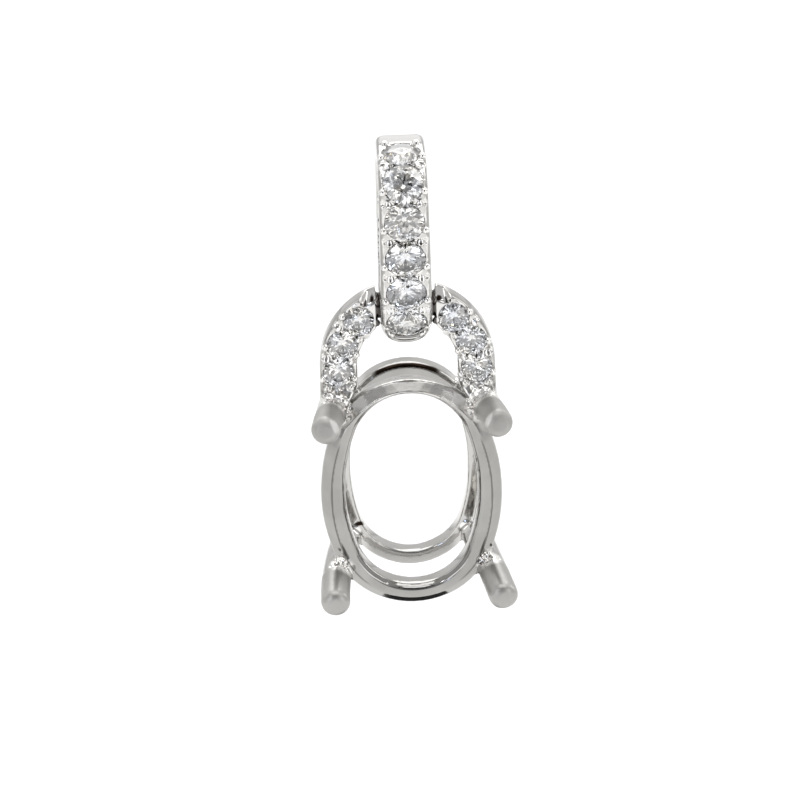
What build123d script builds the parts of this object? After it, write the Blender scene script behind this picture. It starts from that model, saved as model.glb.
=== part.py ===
from build123d import *
import os
from math import atan2, cos, degrees, pi, radians, sin, sqrt

# Pendant setting, in millimetres. X runs across the pendant, -Y is its front, +Z is up.
# The origin is where a chain lies inside the bail: the middle of its inner top.

# Bail: a closed hoop seen edge on, wide at the top and narrow at the bottom
bail_wall = 0.85
bail_width_top = 1.88
bail_width_foot = 2.0
bail_edge_round = 0.3
bail_crown_radius = 4.86
bail_shoulder_radius = 1.52
bail_side_radius = 13.4
bail_chin_radius = 6.22
bail_foot_wall = 0.96

# Tilt of the outer face above the horizontal, where one arc of the hoop meets the next
bail_crown_ends = 78.3
bail_shoulder_ends = 5.7
bail_side_ends = -10.3
bail_chin_ends = -38.0

# Bail stones: one row down the front
bail_stone_diameter = 1.5
bail_stone_pitch = 1.58
bail_stone_count = 6
bail_first_stone = 0.74

# Link: a horseshoe whose crossbar hangs in the bail
link_outer_radius = 3.41
link_width = 1.46
link_depth = 1.0
link_front_round = 0.2
link_back_round = 0.3
link_foot_straight = 0.85
link_foot_end_width = 0.9
link_foot_end_depth = 0.9
bar_diameter = 1.0
bar_clearance = 0.06
bar_embed = 0.35
side_clearance = 0.15

# Link stones: a row of three down each arm
link_stone_diameter = 1.15
link_stone_pitch = 1.18
link_stone_count = 3
link_first_stone_angle = 46.5

# Basket: the oval head that takes a loose stone of 9 x 7 mm. An end share is the radius of an
# oval's ends over its half width.
basket_below_link = 5.15
rail_forward = 0.63
rail_width = 7.07
rail_height = 9.5
rail_drop = 0.1
rail_end_share = 0.921
rail_depth = 0.9
rail_flank = 0.4
rail_round = 0.12
rail_side_wall = 0.95
rail_end_wall = 0.69
rail_opening_end_share = 0.87
rail_opening_raise = 0.2
rail_bevel_width = 0.18
rail_bevel_depth = 0.2
base_behind_rail = 2.68
base_width = 5.7
base_height = 8.6
base_end_share = 0.905
base_wall = 0.55
base_depth = 0.8
base_corner = 0.1

# Prongs: round wires from the base ring, past the outside of the rail, to the front. Feet lie
# inside the base ring's greatest width and height, waists and tips inside the rail's.
prong_diameter = 1.14
prong_tip_round = 0.38
prong_foot_round = 0.3
prong_foot_inside = 0.5
prong_foot_below = 1.3
prong_waist_inside = 0.535
prong_waist_below = 1.33
prong_tip_inside = 0.195
prong_tip_below = 1.05
prong_ahead_of_rail = 2.6

# Each prong: its side, its end of the oval, and how far out its tip was bent, as a share of
# an even tip's place
PRONGS = (
    {"side": -1, "end": 1, "bend": 1.0},
    {"side": 1, "end": 1, "bend": 1.02},
    {"side": -1, "end": -1, "bend": 0.94},
    {"side": 1, "end": -1, "bend": 1.03},
)

# Round brilliants, as shares of the stone's diameter
table_share = 0.56
star_share = 0.76
crown_share = 0.15
girdle_share = 0.04
pavilion_share = 0.42
lower_half_share = 0.24

# Setting work around each stone
stone_sink = 0.07
stone_clearance = 0.02
pilot_hole_share = 0.36
channel_depth = 0.06
channel_margin = 0.07
bead_radius = 0.15
bead_sink = 0.04
bead_overhang = 0.05

# Grip beads: how far along the row from their stone, as a share of the pitch, and how far out
# from its middle, as a share of the row's half width
BEAD_PAIRS = (
    {"along": -0.47, "across": 0.76},
    {"along": 0.2, "across": 1.0},
)


def bail_arcs(inset):
    """Radius, first and last tilt of each arc from the middle of the top down the front."""
    return [
        (bail_crown_radius - inset, 90.0, bail_crown_ends),
        (bail_shoulder_radius - inset, bail_crown_ends, bail_shoulder_ends),
        (bail_side_radius - inset, bail_shoulder_ends, bail_side_ends),
        (bail_chin_radius - inset, bail_side_ends, bail_chin_ends),
    ]


def facing(tilt):
    """Outward direction of the bail's front where its face is tilted up by this many degrees."""
    return Vector(0, -cos(radians(tilt)), sin(radians(tilt)))


def bail_front(inset):
    """Edges down the front half of the hoop's side view, and the point where they end."""
    edges = []
    place = Vector(0, 0, bail_wall - inset)
    for radius, first, last in bail_arcs(inset):
        centre = place - facing(first) * radius
        middle = centre + facing((first + last) / 2) * radius
        end = centre + facing(last) * radius
        edges.append(ThreePointArc(place, middle, end))
        place = end
    return edges, place


def bail_foot():
    """Centre and radius of the arc that closes the hoop's outer face at the bottom."""
    end = bail_front(0)[1]
    radius = -end.Y / cos(radians(bail_chin_ends))
    return end - facing(bail_chin_ends) * radius, radius


foot_centre, foot_radius = bail_foot()
foot_height = foot_centre.Z - foot_radius
bar_radius = bar_diameter / 2
bore_radius = bar_radius + bar_clearance
bar_height = foot_height + bail_foot_wall + bore_radius
bail_depth_room = 2 * (bail_crown_radius + bail_shoulder_radius)
head_face = bail_width_foot / 2 + side_clearance
link_radius = link_outer_radius - link_width / 2
link_height = bar_height - sqrt(link_radius**2 - head_face**2)
link_face = -link_depth / 2
basket_height = link_height - basket_below_link
rail_y = -rail_forward
base_y = rail_y + base_behind_rail
prong_foot_x = base_width / 2 - prong_foot_inside
prong_foot_z = base_height / 2 - prong_foot_below
prong_waist_x = rail_width / 2 - prong_waist_inside
prong_waist_z = rail_height / 2 - prong_waist_below
prong_tip_x = rail_width / 2 - prong_tip_inside
prong_tip_z = rail_height / 2 - prong_tip_below


def bail_station(along):
    """Plane on the bail's outer face, this far along it from the middle of the top."""
    place = Vector(0, 0, bail_wall)
    left = along
    for radius, first, last in bail_arcs(0):
        centre = place - facing(first) * radius
        length = radius * radians(first - last)
        if left <= length:
            break
        left -= length
        place = centre + facing(last) * radius
    tilt = first - degrees(left / radius)
    return Plane(origin=centre + facing(tilt) * radius, x_dir=(1, 0, 0), z_dir=facing(tilt))


def link_station(side):
    """Stations down the front of the link's arm on this side, measured from its first stone."""
    bend = link_radius * radians(link_first_stone_angle)

    def station(along):
        angle = max((bend - along) / link_radius, 0)
        below = max(along - bend, 0)
        out = Vector(side * cos(angle), 0, sin(angle))
        middle = Vector(0, link_face, link_height - below)
        return Plane(origin=middle + out * link_radius, x_dir=out, z_dir=(0, -1, 0))

    return station


def row_planes(station, first, pitch, count):
    """Surface planes of the stones in one row."""
    return [station(first + k * pitch) for k in range(count)]


def row_beads(station, first, pitch, count, half_width):
    """Grip beads along one row, with a last pair below its last stone."""
    ball = Sphere(bead_radius)
    pairs = [(k + pair["along"], pair["across"]) for k in range(count) for pair in BEAD_PAIRS]
    pairs.append((count + BEAD_PAIRS[0]["along"], BEAD_PAIRS[0]["across"]))
    grips = []
    for along, across in pairs:
        plane = station(first + along * pitch)
        for side in (-1, 1):
            grips.append(plane.location * Pos(side * across * half_width, 0, -bead_sink) * ball)
    return grips


def hoop_blank(inset, width):
    """The hoop's filled side view, this far inside its outer face, as wide as asked."""
    edges, end = bail_front(inset)
    if inset == 0:
        middle_tilt = (bail_chin_ends - 90) / 2
        middle = foot_centre + facing(middle_tilt) * foot_radius
        edges.append(ThreePointArc(end, middle, Vector(0, 0, foot_height)))
    else:
        edges.append(Line(end, Vector(0, 0, end.Z)))
    front = Curve() + edges
    outline = front + mirror(front, about=Plane.XZ)
    return extrude(make_face(outline.edges()), amount=width / 2, both=True, dir=(1, 0, 0))


def brilliant(diameter):
    """Round brilliant, its girdle's top at Z 0: a table, 32 crown and 24 pavilion facets."""
    radius = diameter / 2
    table_radius = radius * table_share
    star_radius = radius * star_share
    crown = diameter * crown_share
    girdle = diameter * girdle_share
    depth = diameter * pavilion_share
    lower_radius = radius * lower_half_share
    half = pi / 8
    star_height = crown * (radius - star_radius * cos(half)) / (radius - table_radius)
    lower_height = -girdle - depth * (1 - lower_radius * cos(half) / radius)

    def corner(size, height, step):
        return Vector(size * cos(step * half), size * sin(step * half), height)

    culet = Vector(0, 0, -girdle - depth)
    facets = [[corner(table_radius, crown, 2 * k) for k in range(8)]]
    for step in range(0, 16, 2):
        table_here = corner(table_radius, crown, step)
        table_next = corner(table_radius, crown, step + 2)
        star_before = corner(star_radius, star_height, step - 1)
        star_after = corner(star_radius, star_height, step + 1)
        low_before = corner(lower_radius, lower_height, step - 1)
        low_after = corner(lower_radius, lower_height, step + 1)
        top = [corner(radius, 0, step + k) for k in range(3)]
        bottom = [corner(radius, -girdle, step + k) for k in range(3)]
        facets.append([table_here, star_after, table_next])
        facets.append([table_here, star_before, top[0], star_after])
        facets.append([star_after, top[0], top[1]])
        facets.append([star_after, top[1], top[2]])
        facets.append([top[0], bottom[0], bottom[1], top[1]])
        facets.append([top[1], bottom[1], bottom[2], top[2]])
        facets.append([low_after, bottom[1], bottom[0]])
        facets.append([low_after, bottom[2], bottom[1]])
        facets.append([culet, low_after, bottom[0], low_before])
    faces = [Face(Wire.make_polygon(points, close=True)) for points in facets]
    return Solid(Shell(faces))


def stone_room(diameter, through):
    """Space that a stone and its clearance take, with the pilot hole drilled on below it."""
    radius = diameter / 2 + stone_clearance
    crown = diameter * crown_share + stone_clearance
    table_radius = diameter / 2 * table_share + stone_clearance
    girdle = diameter * girdle_share + stone_clearance
    pavilion = diameter * pavilion_share + stone_clearance
    pilot = diameter / 2 * pilot_hole_share
    outline = Polyline(
        (0, 0, crown),
        (table_radius, 0, crown),
        (radius, 0, stone_clearance),
        (radius, 0, -girdle),
        (pilot, 0, -girdle - pavilion * (1 - pilot / radius)),
        (pilot, 0, -through),
        (0, 0, -through),
        (0, 0, crown),
    )
    return revolve(make_face(outline.edges()), axis=Axis.Z)


def cut_row(metal, station, first, pitch, count, diameter, through):
    """Open the seats' mouths, raise the beads, then clear the stones' room in both."""
    planes = [plane.offset(-stone_sink) for plane in row_planes(station, first, pitch, count)]
    radius = diameter / 2 + stone_clearance
    mouth = Cylinder(radius, diameter / 2, align=(Align.CENTER, Align.CENTER, Align.MIN))
    room = stone_room(diameter, through)
    grips = row_beads(station, first, pitch, count, diameter / 2 + bead_overhang)
    metal = metal - [plane.location * mouth for plane in planes] + grips
    return metal - [plane.location * room for plane in planes]


def set_row(station, first, pitch, count, diameter):
    """The row's stones, sunk below the metal's face to their girdles."""
    stone = brilliant(diameter)
    planes = row_planes(station, first, pitch, count)
    return [plane.offset(-stone_sink).location * stone for plane in planes]


def build_bail():
    """The hoop with its bore, rounded edges, channel and seats."""
    top = bail_wall + bail_edge_round
    half_top = bail_width_top / 2
    half_foot = bail_width_foot / 2
    taper = Polyline(
        (-half_top, 0, top),
        (half_top, 0, top),
        (half_foot, 0, bar_height),
        (half_foot, 0, foot_height),
        (-half_foot, 0, foot_height),
        (-half_foot, 0, bar_height),
        (-half_top, 0, top),
    )
    wedge = extrude(make_face(taper.edges()), amount=bail_depth_room, both=True, dir=(0, 1, 0))
    hoop = hoop_blank(0, bail_width_foot * 2) & wedge
    rims = hoop.edges().filter_by(lambda edge: abs(edge.center().X) > half_top / 2)
    rims = rims.filter_by(lambda edge: edge.geom_type != GeomType.LINE)
    hoop = fillet(rims, bail_edge_round)
    bar_bore = Pos(0, 0, bar_height) * Rot(0, 90, 0) * Cylinder(bore_radius, bail_width_foot * 2)
    hoop = hoop - hoop_blank(bail_wall, bail_width_foot * 2) - bar_bore
    channel = bail_stone_diameter + 2 * channel_margin
    skin = hoop_blank(-channel_depth, channel) - hoop_blank(channel_depth, channel)
    first = bail_station(bail_first_stone - bail_stone_diameter / 2).origin
    row_end = (bail_stone_count + BEAD_PAIRS[0]["along"]) * bail_stone_pitch + bead_radius
    last = bail_station(bail_first_stone + row_end)
    window = Box(2 * channel, bail_depth_room, bail_depth_room - last.origin.Z,
                 align=(Align.CENTER, Align.MAX, Align.MIN))
    hoop = hoop - (skin & Pos(0, first.Y, last.origin.Z) * window)
    return cut_row(hoop, bail_station, bail_first_stone, bail_stone_pitch, bail_stone_count,
                   bail_stone_diameter, 2 * bail_wall)


def link_run(section, angle, straight):
    """A section on the right arm, run up round the arch and straight down the foot."""
    arch = revolve(section, axis=Axis((0, 0, link_height), (0, -1, 0)), revolution_arc=angle)
    return arch + extrude(section, amount=straight, dir=(0, 0, -1))


def build_arm():
    """Right arm of the link: arch, straight foot, and its taper onto the upper prong."""
    flat = Rectangle(link_width, link_depth)
    flat = fillet(flat.vertices().sort_by(Axis.Y)[:2], link_front_round)
    flat = fillet(flat.vertices().sort_by(Axis.Y)[-2:], link_back_round)
    section = Pos(link_radius, 0, link_height) * flat
    arm = link_run(section, 90, link_foot_straight)
    small = RectangleRounded(link_foot_end_width, link_foot_end_depth, link_front_round)
    landing = Pos(prong_waist_x, rail_y, basket_height + prong_waist_z) * small
    return arm + loft([Pos(0, 0, -link_foot_straight) * section, landing])


def build_link():
    """Both arms cut off at the bail, joined by the crossbar, with a channel down each face."""
    arm = build_arm()
    passage = extrude(Plane.XZ * Rectangle(2 * head_face, 2 * link_outer_radius), link_depth, both=True)
    arms = arm + mirror(arm, about=Plane.YZ) - Pos(0, 0, link_height + link_outer_radius) * passage
    bar = Rot(0, 90, 0) * Cylinder(bar_radius, 2 * (head_face + bar_embed))
    arms = arms + Pos(0, 0, bar_height) * bar
    strip = Rectangle(link_stone_diameter + 2 * channel_margin, 2 * channel_depth)
    top = link_first_stone_angle + degrees(link_stone_diameter / 2 / link_radius)
    length = link_stone_count * link_stone_pitch - link_stone_pitch / 2
    straight = length - link_radius * radians(link_first_stone_angle)
    channel = link_run(Pos(link_radius, link_face, link_height) * strip, top, straight)
    return arms - [channel, mirror(channel, about=Plane.YZ)]


def oval_arcs(half_width, half_height, end_share):
    """Centre, radius, first angle and turn of the four arcs of an oval about the Y axis."""
    end_radius = half_width * end_share
    squares = half_width**2 + half_height**2 - 2 * half_height * end_radius
    side_radius = squares / (2 * (half_width - end_radius))
    lean = degrees(atan2(half_height - end_radius, side_radius - half_width))
    return (
        (Vector(0, 0, half_height - end_radius), end_radius, lean, 180 - 2 * lean),
        (Vector(side_radius - half_width, 0, 0), side_radius, 180 - lean, 2 * lean),
        (Vector(0, 0, end_radius - half_height), end_radius, 180 + lean, 180 - 2 * lean),
        (Vector(half_width - side_radius, 0, 0), side_radius, -lean, 2 * lean),
    )


def oval_band(section, half_width, half_height, end_share):
    """A section run round an oval, with the section's origin on the oval and X outwards."""
    band = Part()
    for centre, radius, first, turn in oval_arcs(half_width, half_height, end_share):
        start = Pos(centre) * Rot(0, -first, 0) * Pos(radius, 0, 0) * section
        band += revolve(start, axis=Axis(centre, (0, -1, 0)), revolution_arc=turn)
    return band


def oval_plate(half_width, half_height, end_share, depth):
    """Filled oval, its middle plane at Y 0."""
    edges = []
    for centre, radius, first, turn in oval_arcs(half_width, half_height, end_share):
        spots = [
            centre + Vector(radius * cos(angle), 0, radius * sin(angle))
            for angle in (radians(first), radians(first + turn / 2), radians(first + turn))
        ]
        edges.append(ThreePointArc(*spots))
    return extrude(make_face((Curve() + edges).edges()), amount=depth / 2, both=True, dir=(0, 1, 0))


def build_rail():
    """Front rail: a sloping flank outside, and a bevel round its opening that seats the stone."""
    half_width = rail_width / 2
    half_height = rail_height / 2
    reach = rail_end_wall + 2 * rail_opening_raise
    block = Pos(-reach / 2, 0) * Rectangle(reach, rail_depth)
    outside = block.vertices().sort_by(Axis.X)[-2:].sort_by(Axis.Y)
    section = chamfer(outside[0], rail_flank)
    section = fillet(section.vertices().sort_by(Axis.X)[-2:], rail_round)
    band = oval_band(section, half_width, half_height, rail_end_share)
    opening = (half_width - rail_side_wall, half_height - rail_end_wall, rail_opening_end_share)
    front = -rail_depth / 2
    bevel = Polyline(
        (-rail_bevel_width, front - rail_bevel_depth),
        (2 * rail_bevel_width, front - rail_bevel_depth),
        (0, front + rail_bevel_depth),
        (-rail_bevel_width, front + rail_bevel_depth),
        (-rail_bevel_width, front - rail_bevel_depth),
    )
    cutter = oval_plate(*opening, 2 * rail_depth) + oval_band(make_face(bevel.edges()), *opening)
    rail = band - Pos(0, 0, rail_opening_raise) * cutter
    return Pos(0, rail_y, basket_height - rail_drop) * rail


def build_base():
    """Plain ring behind the rail."""
    section = Pos(-base_wall / 2, 0) * RectangleRounded(base_wall, base_depth, base_corner)
    band = oval_band(section, base_width / 2, base_height / 2, base_end_share)
    return Pos(0, base_y, basket_height) * band


def build_prong(side, end, bend):
    """Round wire from behind the base ring, bowed past the rail, to a domed tip."""
    foot = Vector(side * prong_foot_x, base_y + base_depth / 2, basket_height + end * prong_foot_z)
    waist = Vector(side * prong_waist_x, rail_y, basket_height + end * prong_waist_z)
    tip_x = side * bend * prong_tip_x
    tip = Vector(tip_x, rail_y - prong_ahead_of_rail, basket_height + end * prong_tip_z)
    path = ThreePointArc(foot, waist, tip)
    wire = sweep(Plane(origin=foot, z_dir=path % 0).location * Circle(prong_diameter / 2), path=path)
    rims = wire.edges().filter_by(GeomType.CIRCLE).sort_by(Axis.Y)
    wire = fillet(rims[0], prong_tip_round)
    rims = wire.edges().filter_by(GeomType.CIRCLE).sort_by(Axis.Y)
    return fillet(rims[-1], prong_foot_round)


def build_setting():
    """Everything that hangs in the bail as one soldered solid."""
    setting = build_rail() + build_base() + build_link()
    for prong in PRONGS:
        setting += build_prong(**prong)
    for side in (-1, 1):
        setting = cut_row(setting, link_station(side), 0, link_stone_pitch, link_stone_count,
                          link_stone_diameter, 2 * link_depth)
    return setting


def build_all():
    """Every solid by name, the stones of each row numbered from the top."""
    nodes = {"bail": build_bail(), "setting": build_setting()}
    bail_row = set_row(bail_station, bail_first_stone, bail_stone_pitch, bail_stone_count,
                       bail_stone_diameter)
    for k, stone in enumerate(bail_row):
        nodes[f"bail_stone_{k + 1}"] = stone
    for name, side in (("left", -1), ("right", 1)):
        row = set_row(link_station(side), 0, link_stone_pitch, link_stone_count, link_stone_diameter)
        for k, stone in enumerate(row):
            nodes[f"link_stone_{name}_{k + 1}"] = stone
    return nodes


if __name__ == "__main__":
    os.makedirs("parts", exist_ok=True)
    for name, solid in build_all().items():
        export_step(solid, f"parts/{name}.step")
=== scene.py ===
import math

import bmesh
import bpy
import numpy as np
from mathutils import Matrix, Vector


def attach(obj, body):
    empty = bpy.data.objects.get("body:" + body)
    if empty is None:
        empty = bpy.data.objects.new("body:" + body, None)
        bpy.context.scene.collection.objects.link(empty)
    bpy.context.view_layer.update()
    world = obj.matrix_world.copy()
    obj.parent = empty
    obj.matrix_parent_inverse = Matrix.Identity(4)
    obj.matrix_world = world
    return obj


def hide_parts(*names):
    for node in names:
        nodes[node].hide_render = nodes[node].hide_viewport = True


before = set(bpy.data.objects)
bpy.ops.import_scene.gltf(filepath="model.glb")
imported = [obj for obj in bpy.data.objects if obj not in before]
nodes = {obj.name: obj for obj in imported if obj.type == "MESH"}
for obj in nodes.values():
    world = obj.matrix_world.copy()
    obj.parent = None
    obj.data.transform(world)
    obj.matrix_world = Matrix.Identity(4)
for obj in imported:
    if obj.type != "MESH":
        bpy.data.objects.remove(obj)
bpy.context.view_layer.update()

MM = 0.001
scene = bpy.context.scene

# the photograph's view: the camera's angles and its distance in metres, the picture in pixels
AZIMUTH, ELEVATION, ROLL = map(math.radians, (-1.6, 24.0, 1.8))
DISTANCE = 0.4
PICTURE_SIDE = 800
PICTURE_MIDDLE = 400
ORIGIN_X = 401.0
ORIGIN_Y = 163.0
PIXEL = MM / 26.0
SENSOR_WIDTH = 36.0

back = Vector((math.sin(AZIMUTH) * math.cos(ELEVATION),
               -math.cos(AZIMUTH) * math.cos(ELEVATION), math.sin(ELEVATION)))
level = Vector((math.cos(AZIMUTH), math.sin(AZIMUTH), 0))
upright = back.cross(level)
right = level * math.cos(ROLL) - upright * math.sin(ROLL)
up = level * math.sin(ROLL) + upright * math.cos(ROLL)
target = right * (PICTURE_MIDDLE - ORIGIN_X) * PIXEL + up * (ORIGIN_Y - PICTURE_MIDDLE) * PIXEL
eye = target + back * DISTANCE

# sizes of the part's solids, in millimetres as all mesh work is
BAR_Z = -5.913
BAIL_MIDDLE_Z = -3.2
LINK_MIDDLE_Z = -8.334
LINK_ROW_RADIUS = 2.68
LINK_FACE_Y = -0.5
RAIL_FLANK = 0.41
# half width, half height, the end arc's radius as a share of the half width, height of the middle
RAIL_OVAL = (3.535, 4.75, 0.921, -13.584)
BASE_OVAL = (2.85, 4.3, 0.905, -13.484)

# the slope cut on the heads beside the bail: the radius where it begins, its rise and where it stops
HEAD_SLOPE_RADIUS = 3.0
HEAD_SLOPE = 1.15
HEAD_SLOPE_END_Y = 0.3

# Zones of the metal's surface. Each measure has the value where the zone begins and the value where it is
# full, and a band also has the value where it is full up to and the value where it ends. Lengths are in
# millimetres. Side is the distance from the middle plane, and a facing is 1 where the surface looks that
# way.
BAIL_ZONES = {
    "foot": {"z": (-6.0, -7.2), "from_bar": (0.62, 0.9)},
    "left_edge": {"left": (0.86, 0.92), "facing_front": (0.0, 0.3)},
    "flanks": {"facing_side": (0.8, 0.95), "from_bar": (1.15, 0.95)},
    "bore": {"from_bar": (0.75, 0.7)},
    "row": {"side": (0.86, 0.78), "facing_front": (0.2, 0.5), "z": (-6.3, -6.1)},
    "crown": {"facing_top": (0.75, 0.9), "z": (0.1, 0.5)},
    "inside": {"facing_middle": (0.0, 0.5)},
}
SETTING_ZONES = {
    "heads": {"side": (1.1, 1.14, 1.5, 1.8), "z": (-7.3, -6.9)},
    "head_fronts": {"y": (0.1, -0.2)},
    "link_rim": {"radius": (3.25, 3.35), "z": (-9.2, -8.8)},
    "base_rim": {"ring": (0.93, 0.97), "y": (1.4, 1.5, 1.9, 2.1), "z": (-11.0, -10.0)},
    "rail": {"z": (-10.2, -10.8), "y": (-1.3, -1.1, 0.0, 0.3)},
    "basket": {"z": (-9.4, -9.9)},
    "solder": {"z": (-9.15, -9.6)},
    "slot": {"side": (1.19, 1.165), "from_bar": (1.3, 1.2)},
    "rail_seam": {"off_seam": (0.05, 0.025), "y": (-0.8, -0.9), "z": (-17.6, -17.0, -11.6, -11.0)},
    "base_top": {"depth": (0.0, 0.03, 0.14, 0.17), "side": (1.5, 1.1), "y": (1.3, 1.4, 1.9, 2.0),
                 "z": (-10.0, -9.7)},
    "row": {"off_row": (0.66, 0.6), "facing_front": (0.3, 0.6), "z": (-10.0, -9.7),
            "side": (1.5, 1.7)},
    "base_sides": {"y": (1.1, 1.4), "side": (1.5, 1.9)},
    "rail_back": {"facing_back": (0.3, 0.6), "y": (0.3, 0.1)},
}
# where the prongs are soldered: the place and the reach of the cast grain there, and of a painted
# highlight
KNOTS = (
    ((-2.9, -0.8, -9.9), 0.85),
    ((2.9, -0.8, -9.9), 0.85),
    ((-2.85, -1.05, -16.6), 0.6),
    ((2.95, -1.05, -16.6), 0.6),
    ((-2.68, -0.5, -9.42), 0.42),
    ((2.68, -0.5, -9.42), 0.42),
)

# how the row stones sit, apart from their small random turns: degrees, and millimetres
STONE_GROWTH = 1.03
LEAST_TILT, MOST_TILT = 2.0, 4.5
FORWARD_TILTS = {"bail_stone_2": -6.0, "bail_stone_3": -6.0}
SINKS = {"bail_stone_1": 0.06}
FIRST_SEED = 40

# Small dark marks: flaws of the real piece, and two painted dark reflections on the heads. Columns: the
# middle's x and y, the half width and the half height, all in pixels of the camera's picture, then the
# turn in radians and the strength.
BAIL_MARKS = {
    "pit_between_stones": (441.5, 321.5, 1.5, 1.5, 0.0, 0.9),
}
SETTING_MARKS = {
    "tick_in_base_ring": (360.0, 523.5, 6.4, 2.4, -0.13, 1.0),
    "pit_low_right": (491.0, 545.0, 1.6, 1.6, 0.0, 1.0),
    "pit_low_left": (340.0, 550.0, 1.4, 1.4, 0.0, 0.8),
    "pit_high_left": (346.0, 407.0, 1.3, 1.3, 0.0, 0.8),
    "pit_high_left_inner": (351.0, 401.0, 1.3, 1.3, 0.0, 0.8),
    "notch_left_arm": (337.0, 362.0, 6.0, 1.3, 0.1, 0.7),
    "notch_right_arm": (469.5, 324.0, 1.5, 2.6, 0.3, 0.7),
    "notch_right_foot": (483.0, 356.0, 2.2, 1.5, 0.0, 0.7),
    # painted dark reflections on the heads, not marks of the piece
    "painted_reflection_left_head": (371.8, 299.0, 2.4, 4.0, 0.1, 1.0),
    "painted_reflection_right_head": (439.0, 298.0, 3.0, 3.6, -0.1, 1.0),
    "blotch_in_base_ring": (472.0, 508.0, 2.0, 9.0, 0.1, 0.6),
    "blotch_in_base_ring_low": (469.0, 525.0, 5.0, 2.4, -0.4, 0.55),
}
# points this dark and darker keep the mesh fine when it is thinned
DARK_MARK = 0.4


# mesh work
def linked(name, data):
    """A new object in the scene."""
    obj = bpy.data.objects.new(name, data)
    scene.collection.objects.link(obj)
    return obj


def applied(holder):
    """The mesh of a work object with its modifiers applied. The object goes."""
    mesh = bpy.data.meshes.new_from_object(
        holder.evaluated_get(bpy.context.evaluated_depsgraph_get()))
    bpy.data.objects.remove(holder)
    return mesh


def remeshed(name, voxel):
    """An even, closed copy of a CAD node in millimetres."""
    work = nodes[name].data.copy()
    work.transform(Matrix.Scale(1 / MM, 4))
    shell = bmesh.new()
    shell.from_mesh(work)
    bmesh.ops.remove_doubles(shell, verts=shell.verts, dist=1e-4)
    shell.to_mesh(work)
    shell.free()
    holder = linked(name + "_work", work)
    voxels = holder.modifiers.new("voxels", "REMESH")
    voxels.mode = "VOXEL"
    voxels.voxel_size = voxel
    return applied(holder)


def numbers(items, key, width, kind=float):
    """One property of many mesh items, with a row for each."""
    flat = np.empty(len(items) * width, dtype=kind)
    items.foreach_get(key, flat)
    return flat.reshape(-1, width)


def step(value, start, end):
    """Smooth 0 to 1 while the value goes from start up or down to end."""
    share = np.clip((value - start) / (end - start), 0, 1)
    return share * share * (3 - 2 * share)


def zone(limits, **measures):
    """How far each point lies in a zone, from 0 to 1."""
    share = 1.0
    for name, value in measures.items():
        begins, full, *band_end = limits[name]
        share = share * step(value, begins, full)
        if band_end:
            full_up_to, ends = band_end
            share = share * step(value, ends, full_up_to)
    return share


def unit(vector):
    return vector / np.linalg.norm(vector)


class Skin:
    """Points of a closed mesh with fast neighbour means and normals."""

    def __init__(self, mesh):
        self.mesh = mesh
        self.points = numbers(mesh.vertices, "co", 3)
        ends = numbers(mesh.edges, "vertices", 2, np.int64)
        both = np.concatenate((ends, ends[:, ::-1]))
        both = both[np.argsort(both[:, 0], kind="stable")]
        self.starts = np.searchsorted(both[:, 0], np.arange(len(self.points)))
        self.near = both[:, 1]
        self.degree = np.diff(np.append(self.starts, len(both)))[:, None]
        mesh.calc_loop_triangles()
        self.triangles = numbers(mesh.loop_triangles, "vertices", 3, np.int64)

    def pull(self, values=None):
        """Neighbour mean minus own value."""
        values = self.points if values is None else values
        return np.add.reduceat(values[self.near], self.starts, axis=0) / self.degree - values

    def normals(self):
        first, second, third = (self.points[self.triangles[:, k]] for k in range(3))
        face = np.cross(second - first, third - first)
        total = np.zeros_like(self.points)
        for k in range(3):
            for axis in range(3):
                total[:, axis] += np.bincount(self.triangles[:, k], face[:, axis], len(self.points))
        return total / np.maximum(np.linalg.norm(total, axis=1), 1e-12)[:, None]

    def smooth(self, rounds):
        """Evens out the voxel steps and keeps the volume."""
        for _ in range(rounds):
            self.points += 0.55 * self.pull()
            self.points -= 0.57 * self.pull()

    def soften(self, rounds, share):
        """Rounds edges, as a polishing wheel does."""
        for _ in range(rounds):
            self.points += 0.5 * share[:, None] * self.pull()

    def fill(self, rounds, share):
        """Solder-like fillets: only hollow creases rise."""
        for _ in range(rounds):
            pull = self.pull()
            normal = self.normals()
            rise = np.maximum((pull * normal).sum(axis=1), 0) * share
            self.points += normal * rise[:, None]

    def hollow(self, normals, full):
        """1 in creases, where the neighbours lie outward by the full distance or more, 0 on flats."""
        return np.clip((self.pull() * normals).sum(axis=1) / full, 0, 1)

    def bulge(self, full):
        """1 on beads and sharp outer edges, 0 on flats and hollows."""
        out = -(self.pull() * self.normals()).sum(axis=1)[:, None]
        for _ in range(2):
            out = out + 0.6 * self.pull(out)
        return step(out[:, 0], 0.4 * full, full)

    def piece(self, name, body, node, most, grime_and_shade, painted_highlight):
        """Writes the points back, thins the mesh and makes the piece that stands for the node."""
        mesh = self.mesh
        mesh.vertices.foreach_set("co", self.points.ravel())
        for kind, values in (("grime_and_shade", grime_and_shade), ("painted_highlight", painted_highlight)):
            layer = mesh.attributes.new(kind, "FLOAT", "POINT")
            layer.data.foreach_set("value", values.astype(np.float32))
        mesh.update()
        holder = linked(name + "_work", mesh)
        thin = holder.modifiers.new("thin", "DECIMATE")
        thin.ratio = min(1.0, most / len(self.triangles))
        loose = holder.vertex_groups.new(name="loose")
        loose.add(np.nonzero(grime_and_shade < DARK_MARK)[0].tolist(), 1.0, "REPLACE")
        thin.vertex_group = "loose"
        thin.vertex_group_factor = 10.0
        done = applied(holder)
        done.transform(Matrix.Scale(MM, 4))
        done.shade_smooth()
        done.materials.clear()
        obj = linked(name, done)
        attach(obj, body)
        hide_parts(node)
        return obj


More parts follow.
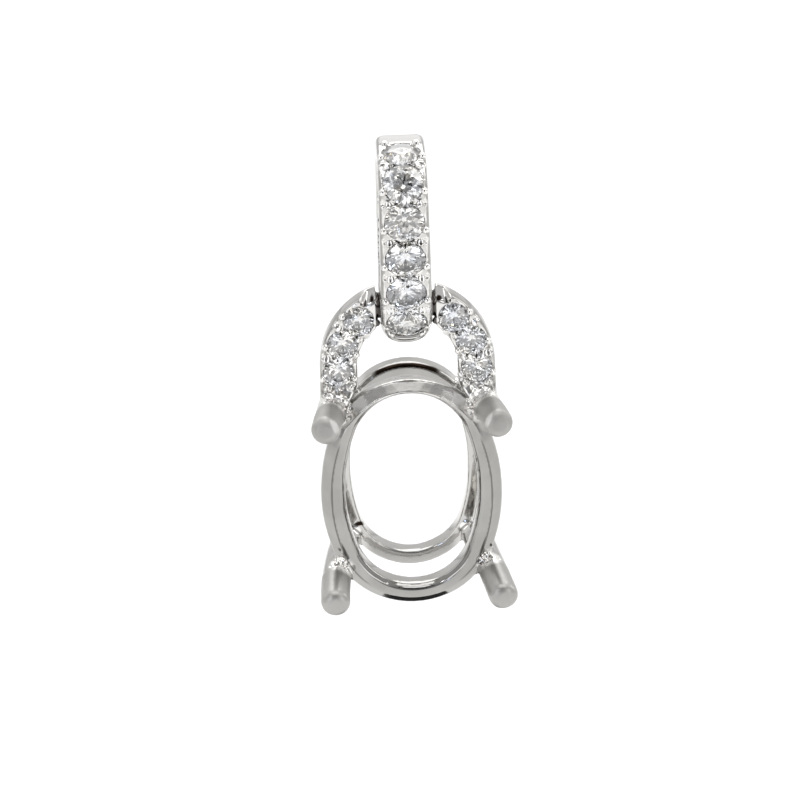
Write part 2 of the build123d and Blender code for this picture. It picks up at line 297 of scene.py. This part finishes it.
def lattice_noise(points, scale, seed):
    """Smooth value noise from -1 to 1."""
    grid = points * scale
    cell = np.floor(grid).astype(np.int64)
    part = grid - cell
    part = part * part * (3 - 2 * part)
    total = np.zeros(len(points))
    for dx in (0, 1):
        for dy in (0, 1):
            for dz in (0, 1):
                corner = cell + (dx, dy, dz)
                # an even scatter of numbers from the corner's three whole numbers
                code = (corner * (73856093, 19349663, 83492791)).sum(axis=1) + seed * 2654435761
                code = (code ^ (code >> 13)) * 1274126177
                value = ((code ^ (code >> 16)) & 65535) / 32767.5 - 1
                weight = (np.abs(1 - dx - part[:, 0]) * np.abs(1 - dy - part[:, 1])
                          * np.abs(1 - dz - part[:, 2]))
                total += value * weight
    return total


def stone_place(name):
    """Middle of a stone's girdle, its outward axis and its radius."""
    points = np.unique(np.round(numbers(nodes[name].data.vertices, "co", 3) / MM, 3), axis=0)
    away = points - points.mean(axis=0)
    axis = np.linalg.svd(away, full_matrices=False)[2][2]
    across = np.linalg.norm(away - (away @ axis)[:, None] * axis, axis=1)
    rim = points[across > across.max() - 0.01]
    middle = rim.mean(axis=0)
    along = (points - middle) @ axis
    if along.max() > -along.min():
        axis = -axis
    return middle, axis, np.linalg.norm(rim - middle, axis=1).max()


BAIL_STONES = [stone_place(f"bail_stone_{k}") for k in range(1, 7)]
LINK_STONES = [[stone_place(f"link_stone_{side}_{k}") for k in (1, 2, 3)]
               for side in ("left", "right")]


def scoop(skin, stones, out, half_along, half_across, depth, tuck):
    """Bright cuts: a lens-shaped scoop on each side between one stone and the next, and a small
    tuck at its inner end. Returns how deep each point lies in a tuck, for painted shade there, and
    in a scoop, for a painted highlight there."""
    dark = np.zeros(len(skin.points))
    painted_highlight = np.zeros(len(skin.points))
    facing = skin.normals()
    for (first, first_axis, radius), (second, second_axis, _) in zip(stones, stones[1:]):
        normal = unit(first_axis + second_axis)
        along = unit(second - first)
        across = np.cross(along, normal)
        offset = skin.points - (first + second) / 2
        down_row, off_row, height = offset @ along, offset @ across, offset @ normal
        near = (np.abs(down_row) < radius) & (np.abs(off_row) < 2 * radius)
        near &= (np.abs(height) < radius * 0.6) & (facing @ normal > 0.15)
        for side in (-1, 1):
            beyond = off_row * side - out
            lens = 1 - (down_row / half_along) ** 2 - (beyond / half_across) ** 2
            move = np.where(near, np.maximum(lens, 0) * depth, 0)
            hole = 1 - (down_row / tuck) ** 2 - ((beyond + half_across) / (1.3 * tuck)) ** 2
            hole = np.where(near, np.maximum(hole, 0), 0)
            skin.points -= normal * (move + hole * tuck)[:, None]
            dark = np.maximum(dark, hole)
            painted_highlight = np.maximum(painted_highlight, np.where(near, np.clip(3 * lens, 0, 1), 0))
    return dark, painted_highlight


def in_seats(points, stones):
    """1 inside the holes that the stones sit in."""
    inside = np.zeros(len(points))
    for middle, axis, radius in stones:
        offset = points - middle
        along = offset @ axis
        across = np.linalg.norm(offset - along[:, None] * axis, axis=1)
        hole = step(across, radius + 0.05, radius) * step(along, 0.2, 0.1)
        hole *= step(along, -1.1 * radius, -radius)
        inside = np.maximum(inside, hole)
    return inside


def marked(points, marks):
    """How deep each point lies in the small marks. Each is an ellipse in the camera's picture, on the
    frontmost surface there."""
    offset = points - np.array(eye) / MM
    away = -offset @ np.array(back)
    x = PICTURE_MIDDLE + offset @ np.array(right) / away * DISTANCE / PIXEL
    y = PICTURE_MIDDLE - offset @ np.array(up) / away * DISTANCE / PIXEL
    deep = np.zeros(len(points))
    for middle_x, middle_y, half_width, half_height, turn, strength in marks.values():
        across, down = x - middle_x, y - middle_y
        turned_across = across * math.cos(turn) + down * math.sin(turn)
        turned_down = down * math.cos(turn) - across * math.sin(turn)
        inside = 1 - (turned_across / half_width) ** 2 - (turned_down / half_height) ** 2
        there = inside > 0
        if there.any():
            there &= away < away[there].min() + 0.35
        deep = np.maximum(deep, np.where(there, np.clip(2.5 * inside, 0, 1) * strength, 0))
    return deep


def oval_depth(points, half_width, half_height, end_share, middle_z):
    """How far each point lies inside an oval of four arcs, seen from the front."""
    end_radius = half_width * end_share
    squares = half_width ** 2 + half_height ** 2 - 2 * half_height * end_radius
    side_radius = squares / (2 * (half_width - end_radius))
    lean = math.atan2(half_height - end_radius, side_radius - half_width)
    across, rise = np.abs(points[:, 0]), np.abs(points[:, 2] - middle_z)
    at_end = np.arctan2(rise - half_height + end_radius, across) > lean
    end = end_radius - np.hypot(across, rise - half_height + end_radius)
    return np.where(at_end, end, side_radius - np.hypot(across + side_radius - half_width, rise))


def from_bar(points):
    """Distance from the crossbar's axis."""
    return np.hypot(points[:, 1], points[:, 2] - BAR_Z)


# the metal pieces: x, y and z are views of the skin's points, so they follow each change of shape
def build_bail():
    zones = BAIL_ZONES
    skin = Skin(remeshed("bail", voxel=0.036))
    points = skin.points
    x, y, z = points.T
    skin.smooth(4)
    tucks, scoops = scoop(skin, BAIL_STONES, out=0.62, half_along=0.13, half_across=0.32,
                          depth=0.11, tuck=0.09)
    skin.smooth(2)
    normals = skin.normals()
    waves = 0.006 * lattice_noise(points, scale=1.3, seed=3)
    points += normals * waves[:, None]
    # the foot is crowned across its width
    foot = zone(zones["foot"], z=z, from_bar=from_bar(points))
    z += 0.5 * foot * np.abs(x) ** 2.5

    to_side, to_back, to_top = normals.T
    # dark: the joints and a real pit; painted shade in the small tucks, on the foot's flanks beside the
    # link, in the crossbar's bore and along the bail's left edge
    joints = 0.15 * skin.hollow(normals, 0.006)
    left_edge = zone(zones["left_edge"], left=-x, facing_front=-to_back)
    flanks = zone(zones["flanks"], facing_side=np.abs(to_side), from_bar=from_bar(points))
    bore = zone(zones["bore"], from_bar=from_bar(points))
    grime_and_shade = np.maximum.reduce([joints, tucks, marked(points, BAIL_MARKS),
                               0.85 * flanks, 0.85 * bore, 0.34 * left_edge])
    # painted highlights: paler metal on the bright cuts, the front between the row's edges, the top, the
    # loop's inside, seats, beads and edges
    row = zone(zones["row"], side=np.abs(x), facing_front=-to_back, z=z)
    crown = zone(zones["crown"], facing_top=to_top, z=z)
    inside = zone(zones["inside"], facing_middle=-to_back * y - to_top * (z - BAIL_MIDDLE_Z))
    painted_highlight = np.maximum.reduce([scoops, in_seats(points, BAIL_STONES), skin.bulge(0.0022),
                                0.6 * row, 0.8 * crown, 0.8 * inside])
    return skin.piece("bail_cast", "bail_body", "bail", 180000, grime_and_shade, painted_highlight)


def build_setting():
    zones = SETTING_ZONES
    skin = Skin(remeshed("setting", voxel=0.044))
    points = skin.points
    x, y, z = points.T
    skin.smooth(4)
    # the heads beside the bail are cut to a slope along their outer edge, the rims buffed
    radius = np.hypot(x, z - LINK_MIDDLE_Z)
    heads = zone(zones["heads"], side=np.abs(x), z=z)
    slope = np.maximum(radius - HEAD_SLOPE_RADIUS, 0) * HEAD_SLOPE * heads
    slope *= zone(zones["head_fronts"], y=y)
    cut = np.minimum(LINK_FACE_Y + slope, HEAD_SLOPE_END_Y)
    y[:] = np.where(heads > 0, np.maximum(y, cut), y)
    skin.soften(10, heads)
    rim = zone(zones["link_rim"], radius=radius, z=z)
    skin.soften(20, np.maximum(rim - heads, 0))
    # the base ring's outer front edge is worn round, the rail's edges a little
    half_width, half_height, _, middle_z = BASE_OVAL
    ring = np.hypot(x / half_width, (z - middle_z) / half_height)
    skin.soften(40, zone(zones["base_rim"], ring=ring, y=y, z=z))
    skin.soften(7, zone(zones["rail"], z=z, y=y))

    cuts = [scoop(skin, stones, out=0.52, half_along=0.15, half_across=0.24, depth=0.12, tuck=0.07)
            for stones in LINK_STONES]
    tucks = [dark for dark, _ in cuts]
    scoops = [light for _, light in cuts]
    basket = zone(zones["basket"], z=z)
    skin.fill(150, 0.9 * zone(zones["solder"], z=z))
    skin.smooth(3)
    normals = skin.normals()
    waves = 0.014 * basket * lattice_noise(points, scale=1.1, seed=5)
    points += normals * waves[:, None]
    # cast grain where the prongs are soldered, and painted highlights there as small bright facets
    rough = np.zeros(len(points))
    for place, reach in KNOTS:
        away = np.linalg.norm(points - place, axis=1)
        rough = np.maximum(rough, step(away, reach, 0.6 * reach))
    grain = (0.05 * lattice_noise(points, scale=4.3, seed=11)
             + 0.03 * lattice_noise(points, scale=8.5, seed=12))
    points += normals * (rough * grain)[:, None]

    normals = skin.normals()
    to_back = normals[:, 1]
    side = np.abs(x)
    # dark: the joints and the real marks; painted shade in the small tucks and in the slot that the
    # bail's foot fills; painted dark reflections as a fine line where the rail's flank meets its face, on
    # the front of the base ring's top and as spots on the heads
    joints = 0.15 * skin.hollow(normals, 0.008)
    slot = zone(zones["slot"], side=side, from_bar=from_bar(points))
    off_seam = np.abs(oval_depth(points, *RAIL_OVAL) - RAIL_FLANK)
    seam = zone(zones["rail_seam"], off_seam=off_seam, y=y, z=z)
    base_top = zone(zones["base_top"], depth=oval_depth(points, *BASE_OVAL), side=side, y=y, z=z)
    grime_and_shade = np.maximum.reduce([joints, *tucks, marked(points, SETTING_MARKS),
                               0.85 * slot, 0.6 * seam, base_top])
    # painted highlights: paler metal on the bright cuts, seats, beads, soldered places and heads, the
    # front of the arms along the stones, and the base ring's sides and the rail's back, which light each
    # other
    row = zone(zones["row"], off_row=np.abs(radius - LINK_ROW_RADIUS), facing_front=-to_back, z=z,
               side=side)
    base_sides = zone(zones["base_sides"], y=y, side=side)
    rail_back = zone(zones["rail_back"], facing_back=to_back, y=y) * basket
    seats = [in_seats(points, stones) for stones in LINK_STONES]
    beads = skin.bulge(0.0030) * (1 - 0.8 * basket)
    painted_highlight = np.maximum.reduce([*scoops, *seats, beads, rough, 0.6 * row, 0.9 * heads,
                                0.45 * base_sides, 0.5 * rail_back])
    return skin.piece("setting_cast", "setting_body", "setting", 190000, grime_and_shade, painted_highlight)


def build_stone(name, seed):
    """The stone with the small tilt and turn of hand setting, pressed against its seat."""
    middle, axis, _ = stone_place(name)
    rng = np.random.default_rng(seed)
    middle = Vector(middle * MM)
    lean = Vector(rng.normal(size=3)).normalized()
    turn = Matrix.Rotation(rng.uniform(0, math.tau / 8), 4, Vector(axis))
    tilt = Matrix.Rotation(math.radians(rng.uniform(LEAST_TILT, MOST_TILT)), 4, lean)
    if name in FORWARD_TILTS:
        tilt = Matrix.Rotation(math.radians(FORWARD_TILTS[name]), 4, "X")
    sink = Vector(axis) * (-SINKS.get(name, 0) * MM)
    mesh = nodes[name].data.copy()
    mesh.transform(Matrix.Translation(middle + sink) @ tilt @ turn @ Matrix.Scale(STONE_GROWTH, 4)
                   @ Matrix.Translation(-middle))
    mesh.materials.clear()
    obj = linked(name + "_cut", mesh)
    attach(obj, "bail_body" if name.startswith("bail") else "setting_body")
    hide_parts(name)
    return obj


BAIL = build_bail()
SETTING = build_setting()
STONES = [build_stone(name, FIRST_SEED + k) for k, name in enumerate(sorted(nodes))
          if "stone" in name]


# colours, roughness and the places in metres where the finish changes
GOLD_DARK, GOLD_LIGHT = (0.378, 0.371, 0.356), (0.444, 0.437, 0.421)
# pale metal laid a little over the satin prongs, and over the painted highlights
GOLD_BRIGHT = (0.868, 0.855, 0.836)
# dark colour of the real marks and joints, and of the painted shade and painted dark reflections
GRIME_AND_SHADE = (0.020, 0.013, 0.009)
DIAMOND_COOL, DIAMOND_WARM = (0.86, 0.91, 1.0), (1.0, 0.95, 0.85)
TONE_CHANGE = (0.35, 0.65)
SMOOTHEST, ROUGHEST = 0.06, 0.13
SATIN_ROUGHNESS = 0.33
SATIN_PALENESS = 0.06
RAIL_TOP_ROUGHNESS = 0.14
BELOW_LINK = (-0.0086, -0.0090)
AHEAD_OF_RAIL = (-0.0011, -0.0014)
AHEAD_OF_BASE = (0.0010, 0.0006)
RAIL_TOP = (-0.0105, -0.0098)


# materials
def new_material(name, **settings):
    """A material, its node tree and its shader with these inputs set."""
    mat = bpy.data.materials.new(name)
    mat.use_nodes = True
    shader = mat.node_tree.nodes["Principled BSDF"]
    for key, value in settings.items():
        shader.inputs[key.replace("_", " ")].default_value = value
    return mat, mat.node_tree, shader


def add(tree, kind, **settings):
    """A new node with these inputs and properties set."""
    node = tree.nodes.new(kind)
    for key, value in settings.items():
        if key.replace("_", " ") in node.inputs:
            node.inputs[key.replace("_", " ")].default_value = value
        else:
            setattr(node, key, value)
    return node


def split(tree, place):
    """The x, y and z of a place."""
    node = add(tree, "ShaderNodeSeparateXYZ")
    tree.links.new(place, node.inputs["Vector"])
    return node.outputs


def noise(tree, place, **settings):
    node = add(tree, "ShaderNodeTexNoise", **settings)
    tree.links.new(place, node.inputs["Vector"])
    return node.outputs["Fac"]


def ramp(tree, source, start, end, first=0.0, last=1.0):
    """Runs from first to last while the source runs from start to end."""
    node = add(tree, "ShaderNodeMapRange", From_Min=start, From_Max=end, To_Min=first, To_Max=last)
    tree.links.new(source, node.inputs["Value"])
    return node.outputs["Result"]


def maths(tree, operation, *values, **settings):
    """The result of a sum with sockets and plain numbers."""
    node = add(tree, "ShaderNodeMath", operation=operation, **settings)
    for socket, value in zip(node.inputs, values):
        if isinstance(value, bpy.types.NodeSocket):
            tree.links.new(value, socket)
        else:
            socket.default_value = value
    return node.outputs[0]


def two_tones(tree, source, change, tones):
    """A colour that runs from one tone to the other while the source runs through the change."""
    node = add(tree, "ShaderNodeValToRGB")
    for stop, position, color in zip(node.color_ramp.elements, change, tones):
        stop.position = position
        stop.color = (*color, 1)
    tree.links.new(source, node.inputs["Fac"])
    return node.outputs["Color"]


def painted(tree, layer):
    """The value that the mesh carries at each point."""
    return add(tree, "ShaderNodeAttribute", attribute_name=layer).outputs["Fac"]


def coated(tree, color, share, coat):
    """A colour with a share of a plain one laid over it."""
    node = add(tree, "ShaderNodeMix", data_type="RGBA")
    tree.links.new(share, node.inputs["Factor"])
    tree.links.new(color, node.inputs["A"])
    node.inputs["B"].default_value = (*coat, 1)
    return node.outputs["Result"]


def bump(tree, height, **settings):
    node = add(tree, "ShaderNodeBump", **settings)
    tree.links.new(height, node.inputs["Height"])
    return node


def white_gold():
    mat, tree, shader = new_material("rhodium white gold", Metallic=1.0)
    link = tree.links.new
    place = add(tree, "ShaderNodeTexCoord").outputs["Object"]
    wave = noise(tree, place, Scale=700.0, Detail=2.0, Roughness=0.5)
    hair = noise(tree, place, Scale=9000.0, Detail=3.0, Roughness=0.6)
    axes = split(tree, place)
    depth, height = axes["Y"], axes["Z"]
    # satin prongs: everything ahead of the rail, below the link
    below = ramp(tree, height, *BELOW_LINK)
    ahead = maths(tree, "MULTIPLY", ramp(tree, depth, *AHEAD_OF_RAIL), below)
    # a duller top of the rail
    crest = maths(tree, "MULTIPLY", ramp(tree, height, *RAIL_TOP, last=RAIL_TOP_ROUGHNESS),
                  ramp(tree, depth, *AHEAD_OF_BASE))
    dull = maths(tree, "MULTIPLY", crest, below)
    soft = maths(tree, "MULTIPLY_ADD", ahead, SATIN_ROUGHNESS, dull)
    rough = maths(tree, "ADD", ramp(tree, hair, 0.3, 0.7, SMOOTHEST, ROUGHEST), soft)
    link(rough, shader.inputs["Roughness"])

    color = two_tones(tree, wave, TONE_CHANGE, (GOLD_DARK, GOLD_LIGHT))
    # pale metal: a little on the satin prongs, and the painted highlights from the mesh's layer
    pale = maths(tree, "MULTIPLY_ADD", ahead, SATIN_PALENESS, painted(tree, "painted_highlight"), use_clamp=True)
    color = coated(tree, color, pale, GOLD_BRIGHT)
    # dark: the real marks and joints, and painted shade and painted dark reflections, from the mesh's
    # layer
    color = coated(tree, color, ramp(tree, painted(tree, "grime_and_shade"), 0.15, 0.95), GRIME_AND_SHADE)
    link(color, shader.inputs["Base Color"])

    waves = bump(tree, wave, Strength=0.3, Distance=0.00003)
    hairs = bump(tree, hair, Strength=0.06, Distance=0.000004)
    link(waves.outputs["Normal"], hairs.inputs["Normal"])
    link(hairs.outputs["Normal"], shader.inputs["Normal"])
    return mat


def diamond():
    mat, tree, shader = new_material("diamond", Transmission_Weight=1.0, IOR=2.42, Roughness=0.0)
    place = add(tree, "ShaderNodeTexCoord").outputs["Object"]
    cloud = noise(tree, place, Scale=1400.0, Detail=3.0)
    tone = two_tones(tree, cloud, TONE_CHANGE, (DIAMOND_COOL, DIAMOND_WARM))
    tree.links.new(tone, shader.inputs["Base Color"])
    return mat


METAL = white_gold()
STONE = diamond()
for obj in (BAIL, SETTING):
    obj.data.materials.append(METAL)
for obj in STONES:
    obj.data.materials.append(STONE)
for name, obj in nodes.items():
    for slot in obj.material_slots:
        slot.material = STONE if "stone" in name else METAL

# camera
camera = linked("camera", bpy.data.cameras.new("camera"))
camera.data.sensor_width = SENSOR_WIDTH
camera.data.lens = SENSOR_WIDTH * DISTANCE / (PICTURE_SIDE * PIXEL)
camera.data.clip_start = 0.01
camera.data.clip_end = 10.0
camera.matrix_world = Matrix.Translation(eye) @ Matrix((right, up, back)).transposed().to_4x4()
scene.camera = camera


# floor, cards and light, in metres
def flat_material(name, color, **settings):
    return new_material(name, Base_Color=(*color, 1), Roughness=0.9, **settings)[0]


def card(name, centre, normal, width, height, mat, corners=4):
    """A flat card that no body carries, a rectangle or an oval of many corners."""
    mesh = bpy.data.meshes.new(name)
    reach = 1 / math.cos(math.pi / corners) / 2
    turns = [(k + 0.5) * math.tau / corners for k in range(corners)]
    rim = [(width * reach * math.cos(turn), height * reach * math.sin(turn), 0) for turn in turns]
    mesh.from_pydata(rim, [], [range(corners)])
    mesh.materials.append(mat)
    obj = linked(name, mesh)
    obj.matrix_world = Matrix.Translation(Vector(centre)) @ Vector(normal).to_track_quat(
        "Z", "Y").to_matrix().to_4x4()
    return obj


def hide(obj, *rays):
    """Makes the object invisible to these kinds of rays."""
    for ray in rays:
        setattr(obj, "visible_" + ray, False)


card("floor", (0, 0, -0.034), (0, 0, 1), 6, 6, flat_material("floor", (0.95, 0.95, 0.95)))

# the dark camera side of a light tent
BLACK = flat_material("black card", (0.01, 0.01, 0.01))


def dark_card(name, centre, normal, width, height, corners):
    """A card that only reflections and refraction see."""
    obj = card(name, centre, normal, width, height, BLACK, corners)
    hide(obj, "camera", "diffuse", "shadow")
    return obj


dark_card("card_camera", centre=(0, -0.139, 0.056), normal=(0, -0.93, 0.37),
          width=0.048, height=0.042, corners=24)
high = dark_card("card_high", centre=(0, -0.105, 0.107), normal=(0, -0.70, 0.71),
                 width=0.11, height=0.058, corners=4)
hide(high, "transmission")
dark_card("card_below", centre=(0.0005, 0.0055, -0.0315), normal=(0, 0, 1),
          width=0.0085, height=0.009, corners=24)

# pale sides, which only the stones' refraction sees
GLOW = flat_material("white card", (0, 0, 0), Emission_Color=(1, 1, 1, 1), Emission_Strength=1.6)
for name, side in (("card_stones_left", -1), ("card_stones_right", 1)):
    pale = card(name, centre=(side * 0.26, -0.18, 0.05), normal=(-side, 0.7, -0.2),
                width=0.16, height=0.22, mat=GLOW)
    hide(pale, "camera", "diffuse", "glossy", "shadow")


def soft_light(name, place, size, watts, color=(1, 1, 1)):
    """A rectangular lamp that looks at the pendant."""
    lamp = bpy.data.lights.new(name, "AREA")
    lamp.shape = "RECTANGLE"
    lamp.size, lamp.size_y = size
    lamp.energy = watts
    lamp.color = color
    obj = linked(name, lamp)
    obj.location = place
    look = Vector((0, 0, -0.01)) - Vector(place)
    obj.rotation_euler = look.to_track_quat("-Z", "Y").to_euler()


soft_light("back", place=(0, 0.10, 0.08), size=(0.12, 0.06), watts=0.045)
soft_light("top", place=(0, -0.02, 0.39), size=(0.36, 0.24), watts=0.45)
soft_light("top_front", place=(0, -0.187, 0.36), size=(0.22, 0.08), watts=0.075)
soft_light("front_left", place=(-0.27, -0.30, 0.10), size=(0.2, 0.25), watts=0.22)
soft_light("front_right", place=(0.27, -0.30, 0.10), size=(0.2, 0.25), watts=0.22)
soft_light("key_left", place=(-0.25, -0.25, 0.30), size=(0.03, 0.03), watts=0.04)
soft_light("key_right", place=(0.28, -0.2, 0.30), size=(0.03, 0.03), watts=0.04)
soft_light("glint_cool", place=(-0.10, -0.3, 0.02), size=(0.015, 0.015), watts=0.014,
           color=(0.55, 0.7, 1.0))
soft_light("glint_warm", place=(0.12, -0.3, 0.26), size=(0.015, 0.015), watts=0.014,
           color=(1.0, 0.8, 0.5))
soft_light("left", place=(-0.4, 0.1, 0.2), size=(0.1, 0.3), watts=0.12)
soft_light("right", place=(0.4, 0.1, 0.2), size=(0.1, 0.3), watts=0.26)

# the surround: grey in front of the pendant, white behind it
world = bpy.data.worlds.new("studio")
world.use_nodes = True
scene.world = world
sky = world.node_tree
way = split(sky, add(sky, "ShaderNodeTexCoord").outputs["Generated"])["Y"]
glow = two_tones(sky, ramp(sky, way, -1.0, 1.0), (0.1, 0.9), ((0.30, 0.30, 0.305), (1.0, 1.0, 1.0)))
sky.links.new(glow, sky.nodes["Background"].inputs["Color"])
sky.nodes["Background"].inputs["Strength"].default_value = 1.0
scene.view_settings.view_transform = "Standard"
